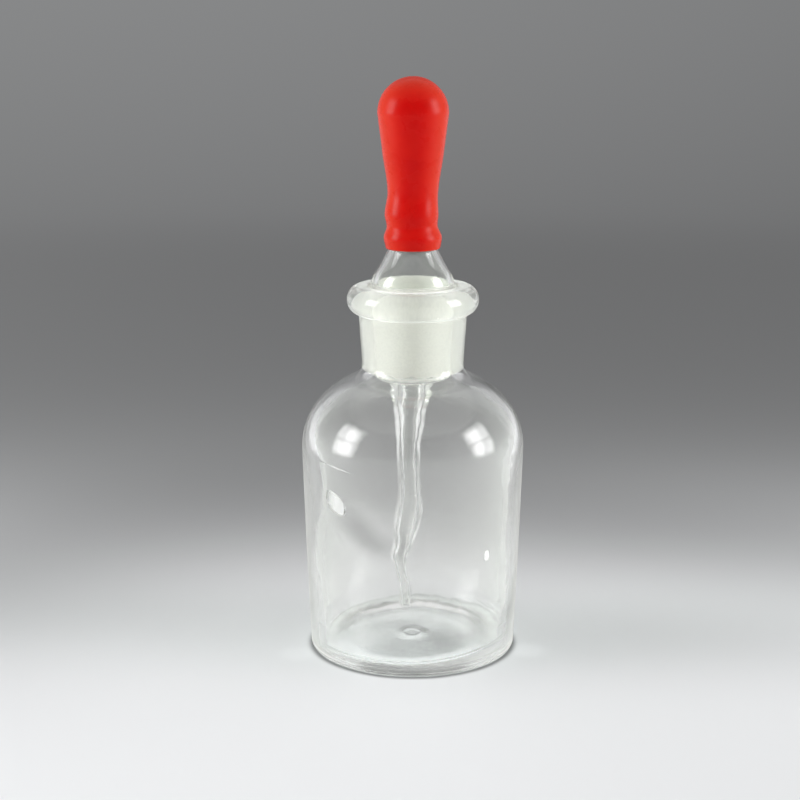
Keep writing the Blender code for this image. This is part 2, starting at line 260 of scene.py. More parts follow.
neckRoot = domeTangent(
    bottleShape, bottleShape["neckRootRadius"] + bottleShape["neckFillet"], 0, bottleShape["neckRootRadius"]
)
mouth = bottleTop.z
flangeFoot = mouth - bottleShape["flangeThickness"]
boreRootRadius = bottleShape["neckRootRadius"] - bottleShape["neckWall"]
groundFoot = neckRoot - bottleShape["groundDrop"]
lipRadius = boreRootRadius + bottleShape["boreFillet"]
boreFoot = domeTangent(bottleShape, lipRadius, bottleShape["wall"], boreRootRadius) + bottleShape["boreFillet"]


# radius of the ground bore at a height
def boreAt(height):
    return boreRootRadius + (height - neckRoot) * bottleShape["groundTaper"]


def bottleInside(s):
    side = s["bodyRadius"] - s["bodyDraft"] - s["wall"] - s["wallGain"]
    edge = side - s["floorRounding"]
    thick = s["floorThickness"]
    lipHeight, lipAngle = domeAt(s, lipRadius, s["wall"])
    underLip = (boreRootRadius, domeTangent(s, lipRadius, s["wall"], boreRootRadius))
    floor = bendLine((0, thick + s["floorCrown"]), (edge * 0.5, thick + s["floorCrown"]), (edge, thick), 16)
    corner = bendLine((edge, thick), (side, thick), (side, thick + s["floorRounding"]), 12)
    wall = sideLine(s, s["wall"], thick + s["floorRounding"], 80)[::-1]
    wall[:, 0] -= s["wallGain"] * np.linspace(1, 0, len(wall))
    dome = domeLine(s, s["wall"], 0, lipAngle, 30)
    opening = bendLine((lipRadius, lipHeight), underLip, (boreAt(boreFoot), boreFoot), 14)
    top = mouth - s["mouthRounding"]
    bore = straightLine((boreAt(boreFoot), boreFoot), (boreAt(top), top), 30)
    return joinLines(floor, corner, wall, dome, opening, bore)


def bottleFlange(s):
    top = mouth - s["mouthRounding"]
    centre = (boreAt(top) + s["mouthRounding"], top)
    neck = s["neckRootRadius"] + s["neckDraft"]
    half = s["flangeThickness"] / 2
    rounding = arcLine(centre, s["mouthRounding"], s["mouthRounding"], 180, 90, 8)
    edge = arcLine((neck, mouth - half), s["flangeOverhang"], half, 90, -68, 34)
    out, down = s["flangeTuck"]
    under = bendLine(edge[-1], (neck + out, flangeFoot), (neck, flangeFoot - down), 5)
    return joinLines(rounding, edge, under)


def bottleOutside(s):
    filletRadius = s["neckRootRadius"] + s["neckFillet"]
    height, angle = domeAt(s, filletRadius, 0)
    foot = s["bodyRadius"] - s["bodyDraft"]
    rootTop = (s["neckRootRadius"], neckRoot + s["neckFillet"] * 0.8)
    neckTop = (s["neckRootRadius"] + s["neckDraft"], flangeFoot - s["flangeTuck"][1])
    neck = straightLine(neckTop, rootTop, 10)
    root = bendLine(rootTop, (s["neckRootRadius"], neckRoot), (filletRadius, height), 12)
    dome = domeLine(s, 0, angle, 0, 34)
    side = sideLine(s, 0, s["heelRounding"], 30)
    heel = arcLine((foot - s["heelRounding"], s["heelRounding"]), s["heelRounding"], s["heelRounding"], 0, -90, 9)
    return joinLines(neck, root, dome, side, heel)


def bottleUnderside(s):
    ring = s["bodyRadius"] - s["bodyDraft"] - s["heelRounding"] - s["footRing"]
    rise = bendLine((ring, 0), (ring - s["footSlope"] / 2, s["pushUp"]), (ring - s["footSlope"], s["pushUp"]), 8)
    outer = (s["markRadius"] + s["markWidth"] / 2, s["pushUp"])
    inner = (s["markRadius"] - s["markWidth"] / 2, s["pushUp"])
    groove = bendLine(outer, (s["markRadius"], s["pushUp"] + 2 * s["markDepth"]), inner, 7)
    return joinLines(rise, straightLine(rise[-1], outer, 6), groove, straightLine(inner, (0, s["pushUp"]), 4))


# the inner wall wanders: radius + the sum of waves, each depth * sin(turns * angle + pitch * height + start),
# and slope * v * exp(-(u / length)^4 - (v / width)^2) at each facet, u and v turned on the wall.
# the floor tilts and warps: height + tilt * (cos(angle - lean) + warp * cos(3 angle + 0.6)) * radius / bodyRadius
def bottleShift(radius, height, angle):
    s = bottleShape
    inside = (np.arange(len(radius)) < len(bottleInside(s)))[:, None]
    full, fading, gone = s["wavesFade"]
    free = inside * easeStep(height, s["floorThickness"], full) * (1 - easeStep(height, fading, gone))
    offset = np.zeros_like(radius)
    for turns, pitch, start, depth in s["waves"]:
        offset += depth * np.sin(turns * angle + pitch * height + start)
    offset *= s["wavesAhead"] + (1 - s["wavesAhead"]) * np.cos(angle) ** 2
    for toward, level, length, width, turn, slope in s["facets"]:
        across = np.angle(np.exp(1j * (angle - math.radians(toward)))) * radius
        cosine, sine = math.cos(math.radians(turn)), math.sin(math.radians(turn))
        u = across * cosine + (height - level) * sine
        v = (height - level) * cosine - across * sine
        offset += slope * v * np.exp(-(u / length) ** 4 - (v / width) ** 2)
    low = inside * (1 - easeStep(height, *s["tiltFade"]))
    tilt = radius / s["bodyRadius"] * (np.cos(angle - s["floorLean"]) + s["floorWarp"] * np.cos(3 * angle + 0.6))
    return radius + offset * free, np.zeros_like(radius), height + s["floorTilt"] * low * tilt


# share of the grinding on the bore at a point
def boreGrinding(radius, height):
    s = bottleShape
    return easeStep(height - boreFoot, *s["grindFade"]) * (radius < boreAt(height) + s["grindDepth"])


def onBore(radius, height):
    s = bottleShape
    return (height > boreFoot + s["groundStart"]) & (radius < boreAt(height) + s["groundDepth"])


# the inner floor and the underside, but for the standing ring
def onStipple(radius, height):
    s = bottleShape
    ring, ringTop = s["standingRing"]
    return (height < s["stippleTop"]) & (radius < s["stippleReach"]) & ((radius < ring) | (height > ringTop))


def makeBottle():
    s = bottleShape
    line = joinLines(bottleInside(s), bottleFlange(s), bottleOutside(s), bottleUnderside(s))
    piece = turnedPiece("mouldedBottle", line, s["segments"], bottleShift)
    writeValue(piece.data, "ground", boreGrinding(*placesOf(piece.data.vertices, "co")))
    return piece


pipetteShape = {
    "proud": 0.6 * mm,
    "seatGap": 0.04 * mm,
    "coneTopRadius": 5.0 * mm,
    "coneFlare": 0.2 * mm,
    "coneRounding": 0.8 * mm,
    "coneWall": 1.2 * mm,
    "plugWall": 1.5 * mm,
    "nozzleRadius": 3.85 * mm,
    "nozzleWall": 0.85 * mm,
    "nozzleNecking": 3.4 * mm,
    "beadProud": 0.25 * mm,
    "beadHeight": 1.8 * mm,
    # drawn tube from the funnel to the tip, in mm: outer radius, place along x, height over the tip
    "tube": [(4.6, -0.2, 46.4), (3.85, -0.45, 44.9), (3.25, -0.6, 41.5), (2.85, -0.8, 38.0), (2.45, -0.95, 34.4),
             (2.3, -0.95, 30.9), (2.35, -0.75, 27.2), (2.55, -0.6, 23.6), (2.75, -0.75, 20.7), (2.85, -1.3, 18.1),
             (2.8, -1.9, 15.7), (2.35, -2.3, 13.5), (1.65, -2.65, 11.3), (1.3, -2.5, 9.0), (1.12, -2.15, 6.8),
             (1.12, -1.65, 4.6), (1.2, -1.5, 2.4), (1.2, -1.55, 0.3)],
    "boreShare": 0.48,  # of the tube's radius, up to boreMost and down to jetBore
    "boreMost": 1.9 * mm,
    "jetBore": 0.55 * mm,
    "funnelWall": 1.4 * mm,
    "tipRounding": 0.3 * mm,
    "jetRounding": 0.1 * mm,
    "grindFade": (-1.2 * mm, 0.2 * mm),  # heights over the plug's foot between which the grinding sets in
    "grindEnd": (-0.4 * mm, 0.1 * mm),  # and over its top between which it ends
    "grindDepth": 1.4 * mm,
    "groundStart": -1 * mm,  # height over the plug's foot from which faces have the ground finish
    "groundDepth": 1.2 * mm,
    "segments": 96,
}

tip = pipetteLow.z
nozzleTop = pipetteTop.z
teatEdge = teatLow.z
groundTop = mouth + pipetteShape["proud"]


# the cone and the nozzle, going up, inset from the outer surface
def coneLine(s, inset, nozzleInset):
    foot = boreAt(groundTop) - s["seatGap"] - inset
    top = s["coneTopRadius"] - inset
    nozzle = s["nozzleRadius"] - nozzleInset
    coneHeight = teatEdge - groundTop
    rounded = foot - (foot - top) * s["coneRounding"] / coneHeight / 2
    return flowLine([
        (foot, groundTop),
        (rounded, groundTop + s["coneRounding"]),
        ((foot + top) / 2 - s["coneFlare"], groundTop + coneHeight * 0.55),
        (top, teatEdge),
        (nozzle + (top - nozzle) * 0.25, teatEdge + s["nozzleNecking"] * 0.6),
        (nozzle, teatEdge + s["nozzleNecking"]),
    ], 8)


def pipetteLine(s):
    stations = [(radius * mm, tip + height * mm) for radius, _, height in s["tube"]]
    bore = [(min(max(radius * s["boreShare"], s["jetBore"]), s["boreMost"]), height) for radius, height in stations]
    foot = (boreAt(groundFoot) - s["seatGap"], groundFoot)
    innerFoot = (foot[0] - s["plugWall"], foot[1] + s["plugWall"])
    innerStart = (bore[0][0], bore[0][1] + s["funnelWall"])
    middle = (s["nozzleRadius"] - s["nozzleWall"] / 2, nozzleTop - s["beadHeight"] / 2)
    bead = arcLine(middle, s["nozzleWall"] / 2 + s["beadProud"], s["beadHeight"] / 2, 120, -50, 16)
    outerCone = coneLine(s, 0, 0)[::-1]
    innerCone = coneLine(s, s["coneWall"], s["nozzleWall"])
    plug = straightLine(outerCone[-1], foot, 30)
    tipRound = arcLine((stations[-1][0] - s["tipRounding"], tip + s["tipRounding"]), s["tipRounding"],
                       s["tipRounding"], 0, -90, 6)
    jet = s["jetRounding"]
    tipIn = arcLine((s["jetBore"] + jet, tip + jet), jet, jet, -90, -180, 4)
    outside = (outerCone, plug, ogeeLine(foot, stations[0], 14), flowLine(stations, 6), tipRound, tipIn)
    wall = straightLine(innerFoot, innerCone[0], 20)
    inside = (flowLine(bore[::-1], 5), ogeeLine(innerStart, innerFoot, 12), wall)
    return joinLines(bead, *outside, *inside, innerCone)


# the rings below the plug move sideways along a smooth curve
def pipetteShift(radius, height, angle):
    s = pipetteShape
    places = [(along * mm, tip + height * mm) for _, along, height in s["tube"]]
    line = flowLine([(0, groundFoot), *places], 8)[::-1]
    return radius, np.interp(height, line[:, 1], line[:, 0]), height


# share of the grinding on the plug at a point
def plugGrinding(radius, height):
    s = pipetteShape
    over = easeStep(height - groundFoot, *s["grindFade"])
    under = 1 - easeStep(height - groundTop, *s["grindEnd"])
    return over * under * (radius > boreAt(height) - s["grindDepth"])


def onPlug(radius, height):
    s = pipetteShape
    within = (height > groundFoot + s["groundStart"]) & (height < groundTop)
    return within & (radius > boreAt(height) - s["groundDepth"])


def makePipette():
    s = pipetteShape
    piece = turnedPiece("drawnPipette", pipetteLine(s), s["segments"], pipetteShift, closed=True)
    writeValue(piece.data, "ground", plugGrinding(*placesOf(piece.data.vertices, "co")))
    return piece


teatShape = {
    "gap": 0.03 * mm,
    "wall": 1.35 * mm,
    "edgeWall": 0.5 * mm,
    "edgeHeight": 0.3 * mm,
    "entryHeight": 2 * mm,  # where the bore stops narrowing
    "rimWall": 1.45 * mm,
    "rimHeight": 2.4 * mm,
    "waistWall": 0.75 * mm,
    "clipWall": 1.0 * mm,
    "neckRadius": 5.08 * mm,
    "neckHeight": 10.8 * mm,
    "bulbRadius": 7.15 * mm,
    "crownHeight": 7.2 * mm,
    "boreRadius": 4.4 * mm,
    "boreTop": 0.3 * mm,  # over the nozzle
    "hollowFoot": 0.9 * mm,  # over the nozzle
    "gripShift": 0.3 * mm,
    "gripHeight": -1 * mm,  # over the nozzle
    "gripReach": 3.2 * mm,
    "segments": 120,
}


def teatLine(s):
    top = teatTop.z
    bulb = top - s["crownHeight"]
    neck = teatEdge + s["neckHeight"]
    rim = teatEdge + s["rimHeight"]
    clear = s["boreRadius"]
    edge = pipetteShape["coneTopRadius"] + s["gap"]
    clip = nozzleTop - pipetteShape["beadHeight"] * 0.8
    flank = ((s["bulbRadius"] + s["neckRadius"]) / 2, (bulb + neck) / 2)
    crown = arcLine((0, bulb), s["bulbRadius"], s["crownHeight"], 90, 0, 40)
    outside = flowLine([
        (s["bulbRadius"], bulb),
        flank,
        (s["neckRadius"], neck),
        (clear + s["clipWall"], clip),
        (clear + s["waistWall"], (clip + rim) / 2),
        (clear + s["rimWall"], rim),
        (edge + s["edgeWall"], teatEdge + s["edgeHeight"]),
    ], 14)
    lip = bendLine(outside[-1], (edge + s["edgeWall"] * 0.9, teatEdge), (edge, teatEdge), 6)
    entry = straightLine((edge, teatEdge), (clear, teatEdge + s["entryHeight"]), 6)
    bore = joinLines(entry, [(clear, nozzleTop + s["boreTop"])])
    hollow = flowLine([
        (s["neckRadius"] - s["wall"], nozzleTop + s["hollowFoot"]),
        (s["neckRadius"] - s["wall"], neck),
        (flank[0] - s["wall"], flank[1]),
        (s["bulbRadius"] - s["wall"], bulb),
    ], 8)
    innerCrown = arcLine((0, bulb), s["bulbRadius"] - s["wall"], s["crownHeight"] - s["wall"], 0, 90, 20)
    return joinLines(crown, outside, lip, bore, hollow, innerCrown)


# the grip over the nozzle sits to one side: shift * exp(-((height - grip height) / reach)^2)
def teatShift(radius, height, angle):
    s = teatShape
    away = (height - nozzleTop - s["gripHeight"]) / s["gripReach"]
    return radius, -s["gripShift"] * np.exp(-away ** 2), height


def makeTeat():
    return turnedPiece("rubberTeat", teatLine(teatShape), teatShape["segments"], teatShift)


# links a socket to another one, or sets it to a plain value
def feed(tree, socket, value):
    if isinstance(value, bpy.types.NodeSocket):
        tree.links.new(value, socket)
    else:
        socket.default_value = value


def newMaterial(name):
    material = bpy.data.materials.new(name)
    material.use_nodes = True
    tree = material.node_tree
    return material, tree, tree.nodes["Principled BSDF"]


def fillShader(tree, shader, values):
    for label, value in values.items():
        feed(tree, shader.inputs[label], value)


def newGroup(name, inputs, outputs):
    group = bpy.data.node_groups.new(name, "ShaderNodeTree")
    for label, value in inputs.items():
        socket = group.interface.new_socket(label, in_out="INPUT", socket_type="NodeSocketFloat")
        socket.default_value = value
    for label in outputs:
        group.interface.new_socket(label, in_out="OUTPUT", socket_type="NodeSocketFloat")
    return group, group.nodes.new("NodeGroupInput"), group.nodes.new("NodeGroupOutput")


def addNode(tree, kind, **settings):
    node = tree.nodes.new(kind)
    for key, value in settings.items():
        if key in node.inputs:
            node.inputs[key].default_value = value
        else:
            setattr(node, key, value)
    return node


def addMath(tree, operation, *values):
    node = addNode(tree, "ShaderNodeMath", operation=operation)
    for socket, value in zip(node.inputs, values):
        feed(tree, socket, value)
    return node.outputs[0]


def addVector(tree, operation, first, second):
    node = addNode(tree, "ShaderNodeVectorMath", operation=operation)
    feed(tree, node.inputs[0], first)
    feed(tree, node.inputs["Scale" if operation == "SCALE" else 1], second)
    return node.outputs["Value" if operation == "DOT_PRODUCT" else "Vector"]


def splitVector(tree, vector):
    node = tree.nodes.new("ShaderNodeSeparateXYZ")
    tree.links.new(vector, node.inputs[0])
    return node.outputs


def addRange(tree, value, fromLow, fromHigh, toLow=0.0, toHigh=1.0):
    node = tree.nodes.new("ShaderNodeMapRange")
    for i, number in enumerate((fromLow, fromHigh, toLow, toHigh)):
        node.inputs[i + 1].default_value = number
    tree.links.new(value, node.inputs[0])
    return node.outputs[0]


def addNoise(tree, coords, scale, detail=2.0, distortion=0.0):
    node = addNode(tree, "ShaderNodeTexNoise", Scale=scale, Detail=detail, Distortion=distortion)
    tree.links.new(coords, node.inputs["Vector"])
    return node.outputs[0]


def addBump(tree, height, strength, distance, normal=None):
    node = addNode(tree, "ShaderNodeBump", Strength=strength, Distance=distance)
    tree.links.new(height, node.inputs["Height"])
    if normal is not None:
        tree.links.new(normal, node.inputs["Normal"])
    return node.outputs[0]


# blends two plain colours
def mixColours(tree, factor, first, second):
    node = addNode(tree, "ShaderNodeMix", data_type="RGBA")
    colours = [socket for socket in node.inputs if socket.type == "RGBA"]
    colours[0].default_value = (*first, 1)
    colours[1].default_value = (*second, 1)
    tree.links.new(factor, node.inputs[0])
    return [socket for socket in node.outputs if socket.type == "RGBA"][0]


def mixShaders(tree, factor, first, second):
    node = tree.nodes.new("ShaderNodeMixShader")
    for socket, source in zip(node.inputs, (factor, first, second)):
        tree.links.new(source, socket)
    return node.outputs[0]


def objectCoords(tree):
    return tree.nodes.new("ShaderNodeTexCoord").outputs["Object"]


# 0 where a surface faces the eye, 1 where it turns away
def turningAway(tree):
    return addNode(tree, "ShaderNodeLayerWeight", Blend=0.5).outputs["Facing"]


# how close together each pattern's features are, as features in a metre
patternScale = {
    "grain": 2600,
    "wornPatches": 420,
    "broadWaves": 110,
    "closeWaves": 420,
    "hairs": 46,
    "hairPlaces": 90,
    "specks": 1700,
    "stipple": 800,
    "mottle": 260,
    "rubberGrain": 900,
}


# fine grain that grinding leaves: a mask of the frosted share, broken up towards its edge, and its height
def buildGrindGrain():
    group, inside, outside = newGroup("grindGrain", {"Ground": 0.0}, ["Frost", "Height"])
    ground = inside.outputs["Ground"]
    coords = objectCoords(group)
    grain = addNoise(group, coords, patternScale["grain"], 3.0)
    patches = addNoise(group, coords, patternScale["wornPatches"])
    worn = addMath(group, "ADD", ground, addRange(group, patches, 0.3, 0.7, -0.35, 0.25))
    started = addMath(group, "GREATER_THAN", ground, 0.02)
    frost = addMath(group, "MULTIPLY", addRange(group, worn, 0.25, 0.6), started)
    group.links.new(frost, outside.inputs["Frost"])
    group.links.new(addMath(group, "MULTIPLY", grain, frost), outside.inputs["Height"])
    return group


# slow waves of moulded or drawn glass, as a height
def buildGlassWaves():
    group, inside, outside = newGroup("glassWaves", {"Size": 1.0}, ["Height"])
    coords = addVector(group, "SCALE", objectCoords(group), inside.outputs["Size"])
    broad = addNoise(group, coords, patternScale["broadWaves"], 1.0, 0.4)
    close = addNoise(group, coords, patternScale["closeWaves"], 1.0)
    group.links.new(addMath(group, "MULTIPLY_ADD", close, 0.6, broad), outside.inputs["Height"])
    return group


# hair scratches and dust from handling, as a mask
def buildHandlingMarks():
    group, inside, outside = newGroup("handlingMarks", {"Amount": 0.3}, ["Mask"])
    coords = objectCoords(group)
    lines = addNode(group, "ShaderNodeTexWave", bands_direction="DIAGONAL",
                    Scale=patternScale["hairs"], Distortion=14.0, Detail=2.0)
    group.links.new(coords, lines.inputs["Vector"])
    hairs = addRange(group, lines.outputs["Fac"], 0.985, 1.0)
    places = addRange(group, addNoise(group, coords, patternScale["hairPlaces"]), 0.56, 0.64)
    specks = addRange(group, addNoise(group, coords, patternScale["specks"], 1.0), 0.74, 0.8, 0.0, 0.6)
    both = addMath(group, "MAXIMUM", addMath(group, "MULTIPLY", hairs, places), specks)
    group.links.new(addMath(group, "MULTIPLY", both, inside.outputs["Amount"]), outside.inputs["Mask"])
    return group


groups = {"grain": buildGrindGrain(), "waves": buildGlassWaves(), "marks": buildHandlingMarks()}


def useGroup(tree, key, **values):
    node = addNode(tree, "ShaderNodeGroup", node_tree=groups[key])
    for label, value in values.items():
        feed(tree, node.inputs[label], value)
    return node.outputs


glassFinish = {
    "bottle": {
        "color": (1.0, 1.0, 0.995),
        "ior": 1.5,
        "tint": (0.88, 0.98, 0.93),  # what its depth takes on
        "density": 1.5,
        "waveSize": 1.0,
        "waveDepth": 0.05 * mm,
        "marks": 0.06,
        "blur": 0.07,
        "haze": (0.98, 0.04, 0.62),  # on the body, on the shoulder and on the neck
    },
    "pipette": {
        "color": (0.94, 0.945, 0.935),
        "ior": 1.48,
        "tint": (0.95, 0.98, 0.93),
        "density": 1.0,
        "waveSize": 1.5,
        "waveDepth": 0.005 * mm,
        "marks": 0.03,
        "blur": 0.0,
        "haze": 0.3,
    },
}

# what all the glass shares. the haze is the faint film that handling leaves
allGlass = {
    "lampTint": (0.95, 0.97, 0.96),  # what a surface lets through of the lamps' light
    "hazeThins": (34 * mm, 56 * mm),
    "hazeThickens": (60 * mm, 70 * mm),
    "hazeRoughness": 0.5,
    "hazeTint": (0.99, 1, 0.96),
}


# height of the spots: -lean * v inside |u / half width|^3 + |(v + shear * u) / half height|^3 < 1, near the surface
def addSpots(tree, spots):
    coords = objectCoords(tree)
    total = 0.0
    for centre, wide, high, shear, lean in spots:
        out = np.array(centre) * (1, 1, 0) / math.hypot(*centre[:2])
        across = (-out[1], out[0], 0)
        sheared = (*(shear * np.array(across[:2])), 1)
        offset = addVector(tree, "SUBTRACT", coords, centre)
        reach = 0.0
        for axis, half in ((across, wide), (sheared, high), (out, bottleShape["spotDepth"])):
            along = addVector(tree, "DOT_PRODUCT", offset, np.array(axis) / half)
            reach = addMath(tree, "ADD", addMath(tree, "POWER", addMath(tree, "ABSOLUTE", along), 3.0), reach)
        height = addMath(tree, "MULTIPLY", splitVector(tree, offset)[2], -lean)
        height = addMath(tree, "MULTIPLY", height, addRange(tree, reach, 0.8, 1.2, 1.0, 0.0))
        total = addMath(tree, "ADD", height, total)
    return total


# how strong the haze is at each height
def addHaze(tree, body, shoulder, neck):
    up = splitVector(tree, objectCoords(tree))[2]
    thinning = addRange(tree, up, *allGlass["hazeThins"], body, shoulder)
    return addMath(tree, "ADD", thinning, addRange(tree, up, *allGlass["hazeThickens"], 0.0, neck - shoulder))


# light of the lamps goes straight through a surface, to what is behind it
def letLampsThrough(tree, shader):
    clear = addNode(tree, "ShaderNodeBsdfTransparent", Color=(*allGlass["lampTint"], 1)).outputs[0]
    path = tree.nodes.new("ShaderNodeLightPath")
    surface = mixShaders(tree, path.outputs["Is Shadow Ray"], shader.outputs[0], clear)
    tree.links.new(surface, tree.nodes["Material Output"].inputs["Surface"])


# clear glass with slow waves, hair scratches and a film of haze
def makeGlass(name, f, spots=()):
    material, tree, shader = newMaterial(name)
    marks = useGroup(tree, "marks", Amount=f["marks"])["Mask"]
    normal = addBump(tree, useGroup(tree, "waves", Size=f["waveSize"])["Height"], 1.0, f["waveDepth"])
    if spots:
        normal = addBump(tree, addSpots(tree, spots), 1.0, 1.0, normal)
    fillShader(tree, shader, {
        "Base Color": (*f["color"], 1),
        "IOR": f["ior"],
        "Transmission Weight": 1.0,
        "Roughness": addMath(tree, "ADD", marks, f["blur"]),
        "Sheen Weight": addHaze(tree, *f["haze"]) if isinstance(f["haze"], tuple) else f["haze"],
        "Sheen Roughness": allGlass["hazeRoughness"],
        "Sheen Tint": (*allGlass["hazeTint"], 1),
        "Normal": normal,
    })
    letLampsThrough(tree, shader)
    depth = addNode(tree, "ShaderNodeVolumeAbsorption", Color=(*f["tint"], 1), Density=f["density"])
    tree.links.new(depth.outputs[0], tree.nodes["Material Output"].inputs["Volume"])
    return material


baseFinish = {
    "color": (1.0, 1.0, 1.0),
    "roughness": (0.112, 0.208),
    "stipple": 0.008 * mm,
}


# the underside and the inner floor keep the mould's stipple, so they blur what lies beneath
def makeStippled(name, f):
    material, tree, shader = newMaterial(name)
    stipple = addNoise(tree, objectCoords(tree), patternScale["stipple"])
    fillShader(tree, shader, {
        "Base Color": (*f["color"], 1),
        "IOR": glassFinish["bottle"]["ior"],
        "Transmission Weight": 1.0,
        "Roughness": addRange(tree, stipple, 0.3, 0.7, *f["roughness"]),
        "Normal": addBump(tree, stipple, 1.0, f["stipple"]),
    })
    letLampsThrough(tree, shader)
    return material


groundFinish = {
    "bore": {
        "color": (0.82, 0.82, 0.765),
        "wet": (0.75, 0.75, 0.705),
        "roughness": 0.8,
        "through": 0.6,
        "rim": 0.78,  # painted shade: how much of its colour it keeps where it turns away
    },
    "plug": {
        "color": (0.98, 0.975, 0.92),
        "wet": (0.9, 0.895, 0.85),
        "roughness": 0.8,
        "through": 0.45,
        "rim": 0.5,
    },
    "grainStrength": 0.6,
    "grainDepth": 0.02 * mm,
}


# ground glass: matt, milky and finely grained, greyer in patches towards its foot, and with painted shade where it
# turns away
def makeGround(name, f):
    material, tree, shader = newMaterial(name)
    ground = addNode(tree, "ShaderNodeAttribute", attribute_name="ground").outputs["Fac"]
    grain = useGroup(tree, "grain", Ground=ground)
    colour = mixColours(tree, addRange(tree, grain["Height"], 0.3, 0.62), f["wet"], f["color"])
    # painted shade: the colour is darkened where the surface turns away
    rim = addRange(tree, turningAway(tree), 0.0, 0.6, 1.0, f["rim"])
    fillShader(tree, shader, {
        "Base Color": addVector(tree, "SCALE", colour, rim),
        "IOR": glassFinish["bottle"]["ior"],
        "Transmission Weight": f["through"],
        "Roughness": addMath(tree, "MULTIPLY", grain["Frost"], f["roughness"]),
        "Normal": addBump(tree, grain["Height"], groundFinish["grainStrength"], groundFinish["grainDepth"]),
    })
    letLampsThrough(tree, shader)
    return material


rubberFinish = {
    "color": (0.55, 0.001, 0.0002),
    "worn": (0.59, 0.005, 0.0015),
    "paintedFlankSheen": (0.0, 0.021, 0.006),  # painted sheen that the rubber adds where it turns away
    "roughness": (0.23, 0.33),
    "ior": 1.5,
    "specular": 0.12,
    "grainStrength": 0.25,
    "grainDepth": 0.03 * mm,
}


# smooth red rubber with a soft gloss, faintly mottled and grained, with a painted sheen where it turns away
def makeRubber(name, f):
    material, tree, shader = newMaterial(name)
    coords = objectCoords(tree)
    mottle = addNoise(tree, coords, patternScale["mottle"], 3.0)
    grain = addNoise(tree, coords, patternScale["rubberGrain"], 4.0)
    colour = mixColours(tree, addRange(tree, mottle, 0.35, 0.75), f["color"], f["worn"])
    # painted sheen: a warmer colour added where the surface turns away
    paintedFlankSheen = addVector(tree, "SCALE", f["paintedFlankSheen"], addRange(tree, turningAway(tree), 0.05, 0.45))
    fillShader(tree, shader, {
        "Base Color": addVector(tree, "ADD", colour, paintedFlankSheen),
        "Roughness": addRange(tree, mottle, 0.3, 0.7, *f["roughness"]),
        "IOR": f["ior"],
        "Specular IOR Level": f["specular"],
        "Normal": addBump(tree, grain, f["grainStrength"], f["grainDepth"]),
    })
    return material


cameraPlace = {
    "sideways": -2.62 * mm,
    "distance": 345 * mm,
    "height": 132.03 * mm,
    "pitch": 12.99,
    "lens": 77.2,
}


stageShape = {
    "wallRadius": 1.6,
    "wallHeight": 1.5,
    "litStart": -55 * mm,
    "litDepth": 139 * mm,  # how far behind that the painted pool of light keeps the floor pale
    "litPower": 4.4,
    "white": 0.765,
    "tint": (0.985, 0.997, 1.01),
    "dark": 0.15,
    "upper": 0.4,
    "upperRise": (0.1, 3.0),  # depths between which the dark rises to it
    "lean": (0.33, -0.15),  # painted shade: how much darker the right is, in the dark and in the lit part
    # soft shadows on the floor: strength, x, y, half width, half depth, turn
    "shadows": [(0.42, -112 * mm, 37 * mm, 120 * mm, 60 * mm, 0.76),
                (0.29, 75 * mm, 70 * mm, 120 * mm, 47 * mm, -0.29),
                (0.31, 18 * mm, 5 * mm, 75 * mm, 24 * mm, -0.09)],
    # painted light, as if the glass gathers it: under the base and in a spot on each side of it
    "paintedLightSpots": [(0.42, 0, 1 * mm, 19 * mm), (0.06, -24 * mm, -8 * mm, 4 * mm), (0.1, 24 * mm, -6 * mm, 4 * mm)],
    "paintedFootShadow": (0.72, 21.2 * mm, 0.75 * mm),  # painted shadow line round the foot: strength, radius, width
    "sideFloor": 0.85,
    "sideWall": 0.52,
    "sideRise": 0.25,
    "sideTurn": (14.2, 19.0),  # degrees to the side of the view, seen from the camera
    "cameraSide": 0.3,
    "cameraTurn": (132, 158),  # degrees from behind the object
    "cameraRise": (0.05, 0.4),
    "floorEnd": 0.45,
    "wallStart": 0.8,
    # rings of the floor: outer radius and count
    "rings": [(18 * mm, 12), (24 * mm, 24), (60 * mm, 24), (0.5, 79), (0.75, 13)],
    "wallRows": 60,
    "segments": 288,
    "drop": 0.02 * mm,  # so that the floor doesn't coincide with the foot
    "roughness": 0.75,
    "specular": 0.1,
}


